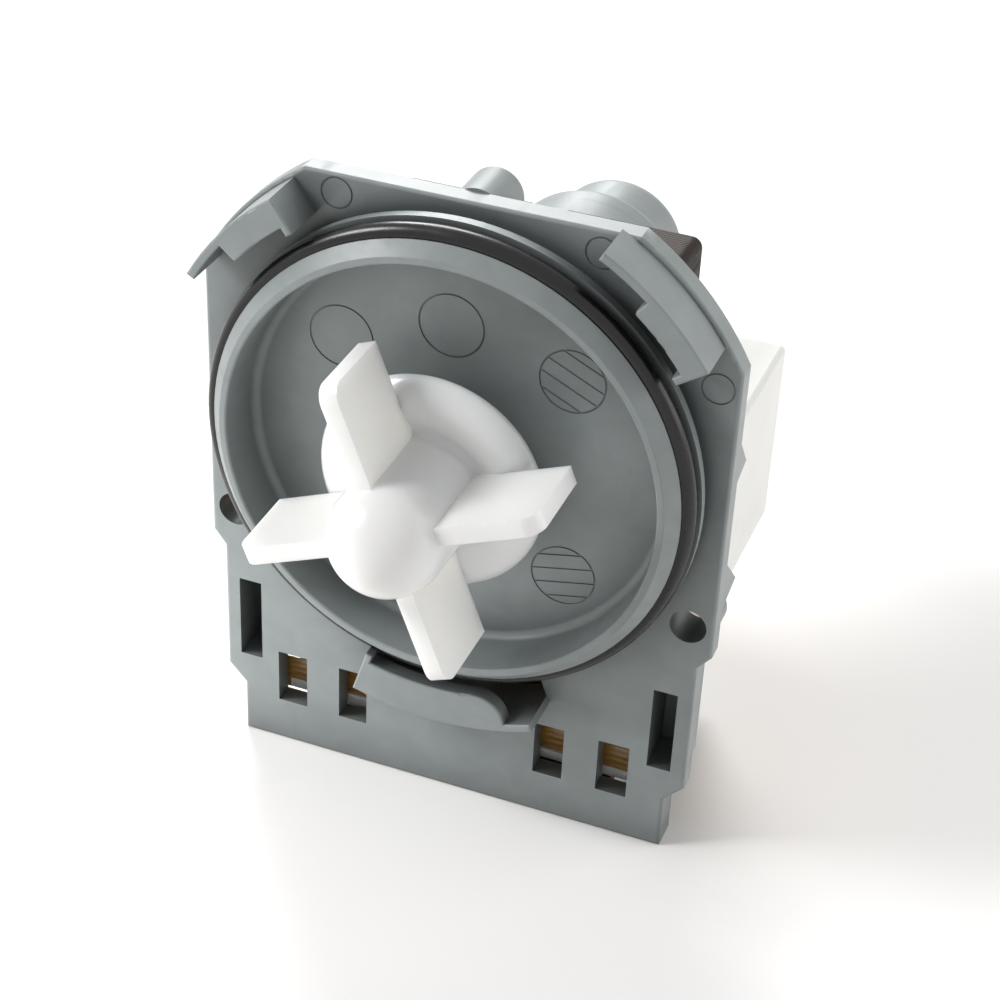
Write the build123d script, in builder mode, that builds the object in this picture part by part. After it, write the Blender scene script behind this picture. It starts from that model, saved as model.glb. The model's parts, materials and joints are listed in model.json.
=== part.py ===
from build123d import *
from math import degrees
import os

os.makedirs("parts", exist_ok=True)

# Washer drain pump, in millimetres.
# The pump axis is the Y axis. The impeller points to -Y and the motor lies towards +Y.
# The origin is on that axis, in the front face of the mounting plate, and +Z is up.
# Places along the axis are called front and rear, and grow towards the motor.

# Clearances and the overrun of every cut
running_gap = 0.05
seat_gap = 0.05
loose_gap = 0.3
overrun = 1.0

# Spigot, the round wall that goes into the pump housing of the washer
spigot_radius = 31.9
spigot_length = 8.35
rim_width = 1.0
rim_round = 0.35
lead_in_depth = 1.6
dish_draft = 0.3
dish_floor_rise = 0.8
dish_floor_round = 1.2
seal_groove_depth = 1.4
seal_groove_width = 2.95
spigot_land = 0.15
flange_width = 1.7
flange_thickness = 1.3
flange_gap = 2.1

# Mounting plate around the spigot
plate_thickness = 3.0
plate_side_margin = 4.25
plate_top_margin = 2.77
plate_edge_round = 0.5
upper_step_rise = 8.5
upper_step_drop = 2.2
upper_step_inset = 1.75
waist_length = 20.6
lower_step_drop = 2.8
lower_step_inset = 2.65
foot_length = 8.35
skirt_wall = 1.5
skirt_depth = 1.7
screw_side_margin = 0.7
screw_drop = 19.1
screw_hole_radius = 2.5
screw_boss_wall = 1.0
screw_boss_depth = 3.0
tall_slot_width = 3.36
tall_slot_side_margin = 2.11
tall_slot_top_margin = 5.08
tall_slot_bottom_margin = 2.47
slot_pocket_wall = 1.2
slot_pocket_depth = 4.0
outer_slot_centre = 24.15
outer_slot_width = 4.45
inner_slot_centre = 14.8
inner_slot_width = 4.29
square_slot_height = 8.58
square_slot_margin = 7.0
peg_radius = 3.7
peg_height = 31.4
peg_length = 7.4
peg_round = 0.8
upper_rib_top = 8.1
upper_rib_length = 5.7
upper_rib_tip_drop = 4.45
upper_rib_depth = 3.6
lower_rib_top = -10.2
lower_rib_length = 7.0
lower_rib_tip_drop = 5.55
lower_rib_depth = 5.6
rib_thickness = 1.0

# Round marks in the dish floor and on the plate, as shares of the floor's radius and the plate's half width
mark_line = 0.25
mark_depth = 0.15
floor_mark_radius = 4.5
floor_mark_shares = [(-0.562, 0.434), (-0.045, 0.61), (0.517, 0.472), (0.533, -0.534)]
plate_mark_radius = 2.2
plate_mark_shares = [(-0.481, 0.888), (0.479, 0.874), (0.918, 0.467)]
# Parallel lines inside the last two floor marks, at these angles
hatch_angles = [-25, 12]
hatch_spacing = 2.1
hatch_count = 4

# Bayonet hooks: walls round the plate's edge with a lip that reaches over the gap
hook_height = 6.94
hook_wall = 1.2
hook_ledge = 0.6
hook_lip_thickness = 2.2
hook_stop_thickness = 1.2
hook_stop_reach = 1.25
hook_edge_round = 0.35
# Each hook: start angle, lip span, wall span and window span in degrees
hook_angles = [(34, 16, 27, 16), (125, 15.5, 25.3, 15.5), (-107, 32.5, 38, 38)]
hook_lip_widths = [3.4, 3.9, 5.6]
hook_lip_rounds = [0.5, 0.5, 4.0]
hook_window_widths = [3.4, 3.9, 7.0]

# Shaft, its bushes and their rubber cushions
shaft_radius = 2.0
shaft_front = -25.2
bush_radius = 4.5
bush_length = 8.0
cushion_wall = 1.55
front_bush_front = -0.5
washer_radius = 5.0
washer_thickness = 1.0
shaft_seal_radius = 5.0
shaft_seal_thickness = 2.0
nose_boss_length = 4.0
boss_wall = 1.8
thrust_gap = 0.3

# Rotor chamber, a tube at the back of the plate, and the cap that closes it
chamber_radius = 11.6
chamber_wall = 1.9
chamber_length = 45.5
cap_flange = 4.0
cap_flange_round = 1.5
cap_skirt_length = 4.0
cap_skirt_wall = 2.1
cap_groove_depth = 0.95
cap_groove_width = 1.6
dome_wall = 4.0
dome_length = 13.2
dome_round = 3.0
rear_bush_setback = 1.5
shaft_end_pocket = 1.8

# Rotor
magnet_radius = 10.5
magnet_length = 28.0
sleeve_wall = 3.45
sleeve_flange_radius = 9.5
sleeve_flange_length = 2.4

# Stator core and rivets
core_front = 9.0
core_stack = 22.0
core_top = 20.3
core_half_width = 21.5
core_round = 1.5
leg_width = 13.0
yoke_height = 6.5
pole_slot = 5.0
rivet_radius = 1.6
rivet_head_radius = 2.6
rivet_head = 0.8
rivet_inset = 4.5

# Coils, one on each leg of the core
coil_top = 20.0
bobbin_wall = 1.0
bobbin_flange = 1.5
bobbin_half_width = 11.5
bobbin_half_depth = 16.0
winding_inset = 0.8
winding_round = 2.0
tape_thickness = 0.4
cutout_width = 10.0
cutout_height = 13.0
cutout_thickness = 3.6
cutout_round = 0.8

# Terminal block on the right-hand coil
block_width = 12.5
block_front = 9.0
block_length = 22.0
block_height = 27.0
block_wall = 1.2
block_round = 0.8
socket_depth = 12.0
pocket_depth = 7.0
tab_width = 6.3
tab_thickness = 0.8
tab_spacing = 14.0
tab_root = 4.0
tab_setback = 2.0
lead_radius = 0.35
lead_bend = 1.0
lead_inset = 0.9
lead_spacing = 2.0

# Impeller, with four flat blades
blade_radius = 21.0
blade_thickness = 2.45
blade_front = -24.4
blade_length = 12.5
blade_corner_round = 2.3
blade_angles = [22, 112, 202, 292]
hub_radius = 7.6
hub_nose_front = -30.5
collar_radius = 15.1
collar_rear = -9.2
collar_edge = 0.4
collar_crown = 2.7
collar_root = 1.2
collar_fillet = 1.0
collar_recess = 0.8
collar_lip = 1.5

# Drive dog inside the hub, which turns freely until it meets the stop
dog_chamber_radius = 5.9
dog_chamber_front = -22.0
dog_core_radius = 3.2
dog_middle_angle = 90
dog_span = 50
stop_middle_angle = -90
stop_span = 140
impeller_cap_radius = 6.5
impeller_cap_thickness = 3.1

# Radii that follow the spigot
dish_mouth_radius = spigot_radius - lead_in_depth - rim_width
dish_floor_radius = dish_mouth_radius - dish_draft
groove_radius = spigot_radius - seal_groove_depth
flange_radius = spigot_radius + flange_width
seal_ring_section = seal_groove_width / 2 - seat_gap
seal_ring_radius = groove_radius + seat_gap + seal_ring_section
plate_half_width = spigot_radius + plate_side_margin
plate_top = spigot_radius + plate_top_margin
waist_half_width = plate_half_width - upper_step_inset
foot_half_width = waist_half_width - lower_step_inset
hook_outer_radius = plate_half_width + plate_side_margin
plate_corner_radius = hook_outer_radius + hook_ledge
hook_inner_radius = hook_outer_radius - hook_wall

# Places along the spigot
flange_front = -flange_gap - flange_thickness
groove_front = flange_front - seal_groove_width
lead_in_rear = groove_front - spigot_land

# Places down the plate
upper_step_depth = spigot_radius - upper_step_rise
waist_start = upper_step_depth + upper_step_drop
lower_step_depth = waist_start + waist_length
foot_start = lower_step_depth + lower_step_drop
plate_depth = foot_start + foot_length
tall_slot_top = waist_start + tall_slot_top_margin
tall_slot_bottom = lower_step_depth - tall_slot_bottom_margin
tall_slot_height = tall_slot_bottom - tall_slot_top
tall_slot_middle = (tall_slot_top + tall_slot_bottom) / 2
tall_slot_centre = waist_half_width - tall_slot_side_margin - tall_slot_width / 2
square_slot_middle = plate_depth - square_slot_margin - square_slot_height / 2
screw_spacing = 2 * (spigot_radius + screw_side_margin)
screw_places = [(-screw_spacing / 2, -screw_drop), (screw_spacing / 2, -screw_drop)]
tall_slot_places = [(-tall_slot_centre, -tall_slot_middle), (tall_slot_centre, -tall_slot_middle)]

# Places of the round marks
floor_marks = [(across * dish_floor_radius, up * dish_floor_radius) for across, up in floor_mark_shares]
plate_marks = [(across * plate_half_width, up * plate_half_width) for across, up in plate_mark_shares]

# Places along the axis at the front bush
plate_rear = plate_thickness
dish_floor = -dish_floor_rise
nose_boss_front = -nose_boss_length
shaft_seal_rear = nose_boss_front + shaft_seal_thickness + 2 * seat_gap
cushion_radius = bush_radius + cushion_wall
boss_radius = cushion_radius + boss_wall
front_bush_rear = front_bush_front + bush_length
front_washer_front = front_bush_rear + thrust_gap
rotor_front = front_washer_front + washer_thickness

# Places along the axis at the rear bush
chamber_outer_radius = chamber_radius + chamber_wall
chamber_rear = plate_rear + chamber_length
cap_rear = chamber_rear + cap_flange
dome_radius = cushion_radius + dome_wall
rear_bush_front = cap_rear + rear_bush_setback
rear_bush_rear = rear_bush_front + bush_length
rear_washer_front = rear_bush_front - thrust_gap - washer_thickness
shaft_rear = rear_bush_rear + washer_thickness
cap_skirt_front = chamber_rear - cap_skirt_length
cap_skirt_radius = chamber_radius - seat_gap
cap_groove_front = cap_skirt_front + (cap_skirt_length - cap_groove_width) / 2

# Places in the stator
core_middle = core_front + core_stack / 2
leg_middle = core_half_width - leg_width / 2
coil_bottom = plate_depth - yoke_height
coil_height = coil_bottom - coil_top
coil_middle = (coil_bottom + coil_top) / 2
pole_bore_radius = chamber_outer_radius + loose_gap
bobbin_bore_width = leg_width + 2 * seat_gap
bobbin_bore_depth = core_stack + 2 * seat_gap
winding_half_width = bobbin_half_width - winding_inset
winding_half_depth = bobbin_half_depth - winding_inset
winding_height = coil_height - 2 * bobbin_flange

# Places in the terminal block
block_left = core_half_width + loose_gap
block_middle = block_left + block_width / 2
block_centre_height = -coil_top + block_height / 2
block_rear = block_front + block_length
socket_front = block_rear - socket_depth
pocket_rear = block_front + pocket_depth
tab_front = pocket_rear - tab_root
tab_rear = block_rear - tab_setback
lead_side = leg_middle + winding_half_width - lead_inset
lead_depths = [tab_front + tab_root / 2 - lead_spacing / 2, tab_front + tab_root / 2 + lead_spacing / 2]
tab_heights = [block_centre_height - tab_spacing / 2, block_centre_height + tab_spacing / 2]

# Places in the impeller
blade_rear = blade_front + blade_length
nose_centre = hub_nose_front + hub_radius
crest_radius = (hub_radius + collar_radius) / 2
impeller_cap_front = collar_rear - impeller_cap_thickness
dog_front = dog_chamber_front + loose_gap
dog_rear = impeller_cap_front - loose_gap
dog_lug_radius = dog_chamber_radius - loose_gap
stop_radius = dog_core_radius + loose_gap
shaft_bore_front = shaft_front - loose_gap


# Plane across the pump axis, with its own x along +X and its own y along +Z
def section(place):
    return Plane.XZ.offset(-place)


# Flat piece of a ring, from one angle round to another
def ring_sector(inner_radius, outer_radius, start, span):
    with BuildSketch() as piece:
        with BuildLine():
            outside = CenterArc((0, 0), outer_radius, start, span)
            inside = CenterArc((0, 0), inner_radius, start, span)
            Line(outside @ 0, inside @ 0)
            Line(outside @ 1, inside @ 1)
        make_face()
    return piece.sketch


# Point on a circle round the pump axis
def on_circle(radius, angle):
    return Vector(radius, 0, 0).rotate(Axis.Z, angle)


# Mounting plate, spigot, bayonet hooks and rotor chamber, one moulding
with BuildPart() as mounting_plate:
    with BuildSketch(section(0)):
        Circle(plate_corner_radius)
        Rectangle(2 * plate_half_width, plate_top, align=(Align.CENTER, Align.MIN), mode=Mode.INTERSECT)
        with BuildLine():
            Polyline(
                (0, 0),
                (plate_half_width, 0),
                (plate_half_width, -upper_step_depth),
                (waist_half_width, -waist_start),
                (waist_half_width, -lower_step_depth),
                (foot_half_width, -foot_start),
                (foot_half_width, -plate_depth),
                (0, -plate_depth),
            )
            mirror(about=Plane.YZ)
        make_face()
    extrude(amount=-plate_thickness)
    fillet(mounting_plate.faces().sort_by(Axis.Y)[0].edges(), radius=plate_edge_round)

    # Hooks, with a stop wall at the start of each
    for angles, lip_width, lip_round in zip(hook_angles, hook_lip_widths, hook_lip_rounds):
        start, lip_span, wall_span, window_span = angles
        stop_angle = degrees(hook_stop_thickness / hook_outer_radius)
        lip_radius = hook_outer_radius - lip_width
        with BuildSketch(section(-hook_height)):
            add(ring_sector(hook_inner_radius, hook_outer_radius, start, wall_span))
            add(ring_sector(lip_radius - hook_stop_reach, hook_outer_radius, start, stop_angle))
        extrude(amount=-hook_height)
        with BuildSketch(section(-hook_height)) as lip:
            add(ring_sector(lip_radius, hook_outer_radius, start, lip_span))
            free_corner = lip.vertices().sort_by_distance(on_circle(lip_radius, start + lip_span))[0]
            fillet(free_corner, radius=lip_round)
        extrude(amount=-hook_lip_thickness)
    fillet(mounting_plate.faces().group_by(Axis.Y)[0].edges(), radius=hook_edge_round)

    # Window behind each lip
    for angles, window_width in zip(hook_angles, hook_window_widths):
        start, lip_span, wall_span, window_span = angles
        stop_angle = degrees(hook_stop_thickness / hook_outer_radius)
        window_radius = hook_outer_radius - window_width
        with BuildSketch(section(-hook_height + hook_lip_thickness)):
            add(ring_sector(window_radius, hook_inner_radius, start + stop_angle, window_span - stop_angle))
        extrude(amount=-(plate_thickness + hook_height), mode=Mode.SUBTRACT)

    # Spigot with its dish, groove and flange
    with BuildSketch() as spigot_profile:
        with BuildLine():
            Polyline(
                (0, plate_rear),
                (0, dish_floor),
                (dish_floor_radius, dish_floor),
                (dish_mouth_radius, -spigot_length),
                (dish_mouth_radius + rim_width, -spigot_length),
                (spigot_radius, lead_in_rear),
                (spigot_radius, groove_front),
                (groove_radius, groove_front),
                (groove_radius, flange_front),
                (flange_radius, flange_front),
                (flange_radius, -flange_gap),
                (spigot_radius, -flange_gap),
                (spigot_radius, plate_rear),
                (0, plate_rear),
            )
        make_face()
        fillet(spigot_profile.vertices().group_by(Axis.Y)[0], radius=rim_round)
        floor_corner = spigot_profile.vertices().sort_by_distance((dish_floor_radius, dish_floor))[0]
        fillet(floor_corner, radius=dish_floor_round)
    revolve(axis=Axis.Y)

    # Bosses for the front bush and shaft seal, and the rotor chamber
    with BuildSketch(section(nose_boss_front)):
        Circle(boss_radius)
    extrude(amount=-(front_bush_rear + thrust_gap / 2 - nose_boss_front))
    with BuildSketch(section(plate_rear)):
        Circle(chamber_outer_radius)
        Circle(chamber_radius, mode=Mode.SUBTRACT)
    extrude(amount=-chamber_length)
    with BuildSketch(section(nose_boss_front)):
        Circle(shaft_radius + loose_gap)
    extrude(amount=-(front_bush_rear - nose_boss_front + overrun), mode=Mode.SUBTRACT)
    with BuildSketch(section(nose_boss_front - overrun)):
        Circle(shaft_seal_radius + seat_gap)
    extrude(amount=-(shaft_seal_rear - nose_boss_front + overrun), mode=Mode.SUBTRACT)
    with BuildSketch(section(front_bush_front - seat_gap)):
        Circle(cushion_radius + seat_gap)
    extrude(amount=-(bush_length + overrun), mode=Mode.SUBTRACT)

    # Round marks, two of them with parallel lines
    for marks, mark_radius, face in (
        (floor_marks, floor_mark_radius, dish_floor),
        (plate_marks, plate_mark_radius, 0),
    ):
        with BuildSketch(section(face)):
            with Locations(marks):
                Circle(mark_radius)
                Circle(mark_radius - mark_line, mode=Mode.SUBTRACT)
        extrude(amount=-mark_depth, mode=Mode.SUBTRACT)
    for (across, up), angle in zip(floor_marks[-len(hatch_angles):], hatch_angles):
        with BuildSketch(section(dish_floor)):
            with Locations(Location((across, up, 0), (0, 0, angle))):
                with GridLocations(0, hatch_spacing, 1, hatch_count):
                    Rectangle(2 * floor_mark_radius, mark_line)
                Circle(floor_mark_radius - mark_line, mode=Mode.INTERSECT)
        extrude(amount=-mark_depth, mode=Mode.SUBTRACT)

    # Bosses behind the screw holes and closed pockets behind the tall slots
    with BuildSketch(section(plate_rear)):
        with Locations(screw_places):
            Circle(screw_hole_radius + screw_boss_wall)
    extrude(amount=-screw_boss_depth)
    with BuildSketch(section(plate_rear)):
        with Locations(tall_slot_places):
            Rectangle(tall_slot_width + 2 * slot_pocket_wall, tall_slot_height + 2 * slot_pocket_wall)
    extrude(amount=-(slot_pocket_depth + slot_pocket_wall))

    # Holes and slots of the plate
    with BuildSketch(section(-overrun)):
        with Locations(screw_places):
            Circle(screw_hole_radius)
    extrude(amount=-(overrun + plate_thickness + screw_boss_depth + overrun), mode=Mode.SUBTRACT)
    with BuildSketch(section(-overrun)):
        with Locations(tall_slot_places):
            Rectangle(tall_slot_width, tall_slot_height)
    extrude(amount=-(overrun + plate_thickness + slot_pocket_depth), mode=Mode.SUBTRACT)
    with BuildSketch(section(-overrun)):
        with Locations((-outer_slot_centre, -square_slot_middle), (outer_slot_centre, -square_slot_middle)):
            Rectangle(outer_slot_width, square_slot_height)
        with Locations((-inner_slot_centre, -square_slot_middle), (inner_slot_centre, -square_slot_middle)):
            Rectangle(inner_slot_width, square_slot_height)
    extrude(amount=-(plate_thickness + 2 * overrun), mode=Mode.SUBTRACT)

    # Peg behind the top of the plate
    with BuildSketch(section(plate_rear)):
        with Locations((0, peg_height)):
            Circle(peg_radius)
    extrude(amount=-peg_length)
    peg_end = (0, plate_rear + peg_length, peg_height)
    peg_rim = mounting_plate.edges().filter_by(GeomType.CIRCLE).sort_by_distance(peg_end)[0]
    fillet(peg_rim, radius=peg_round)

    # Three-cornered ribs at the sides and a skirt round the foot
    for side in (-1, 1):
        for rib_top, rib_length, tip_drop, rib_depth in (
            (upper_rib_top, upper_rib_length, upper_rib_tip_drop, upper_rib_depth),
            (lower_rib_top, lower_rib_length, lower_rib_tip_drop, lower_rib_depth),
        ):
            with BuildSketch(Plane.YZ.offset(side * plate_half_width)):
                with BuildLine():
                    Polyline(
                        (plate_rear, rib_top),
                        (plate_rear + rib_depth, rib_top - tip_drop),
                        (plate_rear, rib_top - rib_length),
                        close=True,
                    )
                make_face()
            extrude(amount=-side * rib_thickness)
        with BuildSketch(section(plate_rear)):
            with Locations((side * (foot_half_width - skirt_wall / 2), -plate_depth)):
                Rectangle(skirt_wall, foot_length, align=(Align.CENTER, Align.MIN))
        extrude(amount=-skirt_depth)
mounting_plate.part.label = "mounting_plate"
export_step(mounting_plate.part, "parts/mounting_plate.step")

# Round rubber ring in the spigot's groove
with BuildPart() as seal_ring:
    with BuildSketch():
        with Locations((seal_ring_radius, flange_front - seal_groove_width / 2)):
            Circle(seal_ring_section)
    revolve(axis=Axis.Y)
seal_ring.part.label = "seal_ring"
export_step(seal_ring.part, "parts/seal_ring.step")

# Lip seal on the shaft, in the front of the nose boss
with BuildPart() as shaft_seal:
    with BuildSketch(section(nose_boss_front + seat_gap)):
        Circle(shaft_seal_radius)
        Circle(shaft_radius + running_gap, mode=Mode.SUBTRACT)
    extrude(amount=-shaft_seal_thickness)
shaft_seal.part.label = "shaft_seal"
export_step(shaft_seal.part, "parts/shaft_seal.step")

# Front bush and the rubber cushion round it
with BuildPart() as front_bearing:
    with BuildSketch(section(front_bush_front)):
        Circle(bush_radius)
        Circle(shaft_radius + running_gap, mode=Mode.SUBTRACT)
    extrude(amount=-bush_length)
front_bearing.part.label = "front_bearing"
export_step(front_bearing.part, "parts/front_bearing.step")

with BuildPart() as front_cushion:
    with BuildSketch(section(front_bush_front)):
        Circle(cushion_radius)
        Circle(bush_radius + seat_gap, mode=Mode.SUBTRACT)
    extrude(amount=-bush_length)
front_cushion.part.label = "front_cushion"
export_step(front_cushion.part, "parts/front_cushion.step")

# Cap of the rotor chamber, with a skirt inside the tube and a dome for the rear bush
with BuildPart() as rear_cap:
    with BuildSketch(section(chamber_rear)):
        Circle(chamber_outer_radius)
    extrude(amount=-cap_flange)
    fillet(rear_cap.faces().sort_by(Axis.Y)[-1].edges(), radius=cap_flange_round)
    with BuildSketch(section(cap_skirt_front)):
        Circle(cap_skirt_radius)
    extrude(amount=-cap_skirt_length)
    with BuildSketch(section(cap_rear - cap_flange_round)):
        Circle(dome_radius)
    extrude(amount=-(dome_length + cap_flange_round))
    fillet(rear_cap.faces().sort_by(Axis.Y)[-1].edges(), radius=dome_round)
    with BuildSketch(section(cap_skirt_front)):
        Circle(cap_skirt_radius - cap_skirt_wall)
    extrude(amount=-(cap_skirt_length + cap_flange / 2), mode=Mode.SUBTRACT)
    with BuildSketch(section(chamber_rear)):
        Circle(cushion_radius + seat_gap)
    extrude(amount=-(rear_bush_rear + seat_gap - chamber_rear), mode=Mode.SUBTRACT)
    with BuildSketch(section(rear_bush_rear)):
        Circle(bush_radius - cushion_wall)
    extrude(amount=-shaft_end_pocket, mode=Mode.SUBTRACT)
    with BuildSketch(section(cap_groove_front)):
        Circle(cap_skirt_radius + overrun)
        Circle(cap_skirt_radius - cap_groove_depth, mode=Mode.SUBTRACT)
    extrude(amount=-cap_groove_width, mode=Mode.SUBTRACT)
rear_cap.part.label = "rear_cap"
export_step(rear_cap.part, "parts/rear_cap.step")

# Ring that seals the cap in the tube
with BuildPart() as cap_gasket:
    with BuildSketch(section(cap_groove_front + seat_gap)):
        Circle(cap_skirt_radius)
        Circle(cap_skirt_radius - cap_groove_depth + seat_gap, mode=Mode.SUBTRACT)
    extrude(amount=-(cap_groove_width - 2 * seat_gap))
cap_gasket.part.label = "cap_gasket"
export_step(cap_gasket.part, "parts/cap_gasket.step")

# Rear bush and the rubber cushion round it
with BuildPart() as rear_bearing:
    with BuildSketch(section(rear_bush_front)):
        Circle(bush_radius)
        Circle(shaft_radius + running_gap, mode=Mode.SUBTRACT)
    extrude(amount=-bush_length)
rear_bearing.part.label = "rear_bearing"
export_step(rear_bearing.part, "parts/rear_bearing.step")

with BuildPart() as rear_cushion:
    with BuildSketch(section(rear_bush_front)):
        Circle(cushion_radius)
        Circle(bush_radius + seat_gap, mode=Mode.SUBTRACT)
    extrude(amount=-bush_length)
rear_cushion.part.label = "rear_cushion"
export_step(rear_cushion.part, "parts/rear_cushion.step")

# Steel shaft, from the nose of the impeller to the rear bush
with BuildPart() as rotor_shaft:
    with BuildSketch(section(shaft_front)):
        Circle(shaft_radius)
    extrude(amount=-(shaft_rear - shaft_front))
rotor_shaft.part.label = "rotor_shaft"
export_step(rotor_shaft.part, "parts/rotor_shaft.step")

# Plastic sleeve between the shaft and the magnet, with a flange behind the magnet
with BuildPart() as magnet_sleeve:
    with BuildSketch(section(rotor_front)):
        Circle(shaft_radius + seat_gap + sleeve_wall)
    extrude(amount=-(rear_washer_front - rotor_front))
    with BuildSketch(section(rotor_front + magnet_length)):
        Circle(sleeve_flange_radius)
    extrude(amount=-sleeve_flange_length)
    with BuildSketch(section(rotor_front)):
        Circle(shaft_radius + seat_gap)
    extrude(amount=-(rear_washer_front - rotor_front), mode=Mode.SUBTRACT)
magnet_sleeve.part.label = "magnet_sleeve"
export_step(magnet_sleeve.part, "parts/magnet_sleeve.step")

# Ferrite magnet
with BuildPart() as rotor_magnet:
    with BuildSketch(section(rotor_front)):
        Circle(magnet_radius)
        Circle(shaft_radius + sleeve_wall + 2 * seat_gap, mode=Mode.SUBTRACT)
    extrude(amount=-magnet_length)
rotor_magnet.part.label = "rotor_magnet"
export_step(rotor_magnet.part, "parts/rotor_magnet.step")

# Thrust washers at both ends of the sleeve
with BuildPart() as front_washer:
    with BuildSketch(section(front_washer_front)):
        Circle(washer_radius)
        Circle(shaft_radius + seat_gap, mode=Mode.SUBTRACT)
    extrude(amount=-washer_thickness)
front_washer.part.label = "front_washer"
export_step(front_washer.part, "parts/front_washer.step")

with BuildPart() as rear_washer:
    with BuildSketch(section(rear_washer_front)):
        Circle(washer_radius)
        Circle(shaft_radius + seat_gap, mode=Mode.SUBTRACT)
    extrude(amount=-washer_thickness)
rear_washer.part.label = "rear_washer"
export_step(rear_washer.part, "parts/rear_washer.step")

# Drive dog on the shaft: a core with one lug
with BuildPart() as drive_dog:
    with BuildSketch(section(dog_front)):
        Circle(dog_core_radius)
        add(ring_sector(shaft_radius, dog_lug_radius, dog_middle_angle - dog_span / 2, dog_span))
        Circle(shaft_radius + seat_gap, mode=Mode.SUBTRACT)
    extrude(amount=-(dog_rear - dog_front))
drive_dog.part.label = "drive_dog"
export_step(drive_dog.part, "parts/drive_dog.step")

# Impeller: domed hub, rounded collar and four flat blades
with BuildPart() as impeller:
    with BuildSketch() as hub_profile:
        with BuildLine():
            nose = CenterArc((0, nose_centre), hub_radius, -90, 90)
            collar_start = (hub_radius, collar_rear - collar_root)
            collar_crest = (crest_radius, collar_rear - collar_crown)
            collar_end = (collar_radius, collar_rear - collar_edge)
            Line(nose @ 1, collar_start)
            ThreePointArc(collar_start, collar_crest, collar_end)
            Polyline(collar_end, (collar_radius, collar_rear), (0, collar_rear), (0, hub_nose_front))
        make_face()
        hub_corner = hub_profile.vertices().sort_by_distance(collar_start)[0]
        fillet(hub_corner, radius=collar_fillet)
    revolve(axis=Axis.Y)
    for angle in blade_angles:
        with BuildSketch(Plane.XY.rotated((0, -angle, 0))) as blade:
            with BuildLine():
                Polyline(
                    (0, blade_front),
                    (blade_radius, blade_front),
                    (blade_radius, blade_rear),
                    (crest_radius, blade_rear),
                    (crest_radius, collar_rear - collar_root),
                    (0, collar_rear - collar_root),
                    (0, blade_front),
                )
            make_face()
            tip_corner = blade.vertices().sort_by_distance((blade_radius, blade_front))[0]
            fillet(tip_corner, radius=blade_corner_round)
        extrude(amount=blade_thickness / 2, both=True)
    with BuildSketch(section(collar_rear)):
        Circle(collar_radius - collar_lip)
        Circle(hub_radius, mode=Mode.SUBTRACT)
    extrude(amount=collar_recess, mode=Mode.SUBTRACT)
    stop_start = stop_middle_angle - stop_span / 2
    with BuildSketch(section(dog_chamber_front)):
        Circle(dog_chamber_radius)
        add(
            ring_sector(stop_radius, dog_chamber_radius + overrun, stop_start, stop_span),
            mode=Mode.SUBTRACT,
        )
    extrude(amount=-(collar_rear - dog_chamber_front), mode=Mode.SUBTRACT)
    with BuildSketch(section(impeller_cap_front)):
        Circle(impeller_cap_radius + seat_gap)
    extrude(amount=-(impeller_cap_thickness + overrun), mode=Mode.SUBTRACT)
    with BuildSketch(section(shaft_bore_front)):
        Circle(shaft_radius + running_gap)
    extrude(amount=-(dog_chamber_front - shaft_bore_front + overrun), mode=Mode.SUBTRACT)
impeller.part.label = "impeller"
export_step(impeller.part, "parts/impeller.step")

# Cap that closes the hub behind the dog
with BuildPart() as impeller_cap:
    with BuildSketch(section(impeller_cap_front)):
        Circle(impeller_cap_radius)
        Circle(shaft_radius + running_gap, mode=Mode.SUBTRACT)
    extrude(amount=-impeller_cap_thickness)
impeller_cap.part.label = "impeller_cap"
export_step(impeller_cap.part, "parts/impeller_cap.step")

# Laminated core: two legs on a yoke, with the pole bore round the rotor chamber
with BuildPart() as stator_core:
    with BuildSketch(section(core_front)) as core_outline:
        with Locations((0, -plate_depth)):
            Rectangle(2 * core_half_width, plate_depth + core_top, align=(Align.CENTER, Align.MIN))
        fillet(core_outline.vertices().group_by(Axis.Y)[-1], radius=core_round)
        with Locations((0, -coil_bottom)):
            Rectangle(
                2 * (core_half_width - leg_width),
                coil_bottom,
                align=(Align.CENTER, Align.MIN),
                mode=Mode.SUBTRACT,
            )
        Circle(pole_bore_radius, mode=Mode.SUBTRACT)
        Rectangle(pole_slot, core_top + overrun, align=(Align.CENTER, Align.MIN), mode=Mode.SUBTRACT)
    extrude(amount=-core_stack)
    rivet_column = core_half_width - rivet_inset
    rivet_places = [
        (side * rivet_column, height)
        for side in (-1, 1)
        for height in (core_top - rivet_inset, yoke_height / 2 - plate_depth)
    ]
    with BuildSketch(section(core_front - overrun)):
        with Locations(rivet_places):
            Circle(rivet_radius + seat_gap)
    extrude(amount=-(core_stack + 2 * overrun), mode=Mode.SUBTRACT)
stator_core.part.label = "stator_core"
export_step(stator_core.part, "parts/stator_core.step")

# Rivets through the laminations
with BuildPart() as core_rivets:
    with BuildSketch(section(core_front)):
        with Locations(rivet_places):
            Circle(rivet_radius)
    extrude(amount=-core_stack)
    with BuildSketch(section(core_front)):
        with Locations(rivet_places):
            Circle(rivet_head_radius)
    extrude(amount=rivet_head)
    with BuildSketch(section(core_front + core_stack)):
        with Locations(rivet_places):
            Circle(rivet_head_radius)
    extrude(amount=-rivet_head)
core_rivets.part.label = "core_rivets"
export_step(core_rivets.part, "parts/core_rivets.step")

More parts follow.
